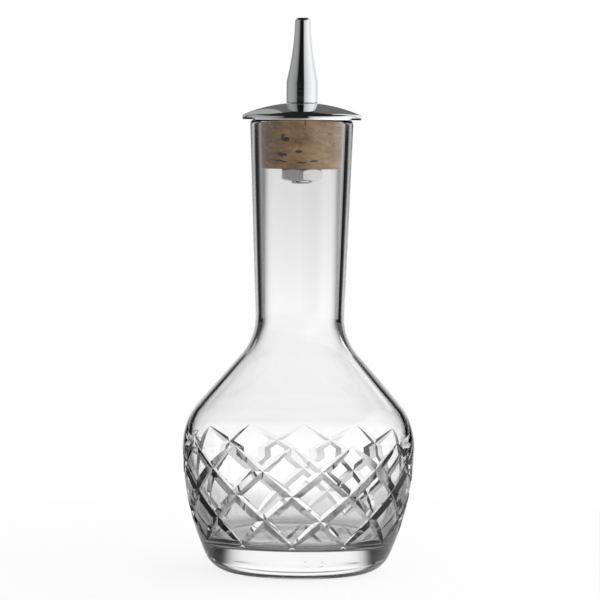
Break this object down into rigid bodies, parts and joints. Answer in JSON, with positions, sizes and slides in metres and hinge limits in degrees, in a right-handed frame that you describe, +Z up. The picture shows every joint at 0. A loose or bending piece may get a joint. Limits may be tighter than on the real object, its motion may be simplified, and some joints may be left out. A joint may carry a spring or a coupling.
{
  "type": "bitters bottle",
  "caption": "Small diamond-cut glass bottle with a long neck, closed by a tapered cork stopper that carries a domed metal disc and a slim bored metal spout for pouring by the dash.",
  "frame": {"origin": "centre of the bottle's foot, at the level it stands on", "axes": "+Z up along the axis of the bottle, +Y away from the side that the picture shows"},
  "size_m": [0.06, 0.06, 0.1431],
  "materials": {
    "glass": "clear, polished",
    "cork": "natural cork, ground smooth",
    "nut_steel": "bright plated steel",
    "chrome": "mirror"
  },
  "bodies": {
    "bottle": {"glass_bottle": "glass"},
    "stopper": {"cork_stopper": "cork", "stem_nut": "nut_steel"},
    "cap": {"cap_flange": "chrome"},
    "dasher": {"spout": "chrome"}
  },
  "joints": [
    {"name": "stopper_lift", "type": "slide", "parent": "bottle", "child": "stopper", "axis": [0, 0, 1], "range_m": [0, 0.045]},
    {"name": "top_turn", "type": "hinge", "parent": "stopper", "child": "cap", "pos_m": [0, 0, 0.11725], "axis": [0, 0, 1], "range_deg": [0, 1260]},
    {"name": "spout_rise", "type": "slide", "parent": "cap", "child": "dasher", "axis": [0, 0, 1], "range_m": [0, 0.0035]}
  ],
  "couplings": [
    {"joint": "spout_rise", "follows": "top_turn", "m_per_rad": 0.00015915}
  ]
}
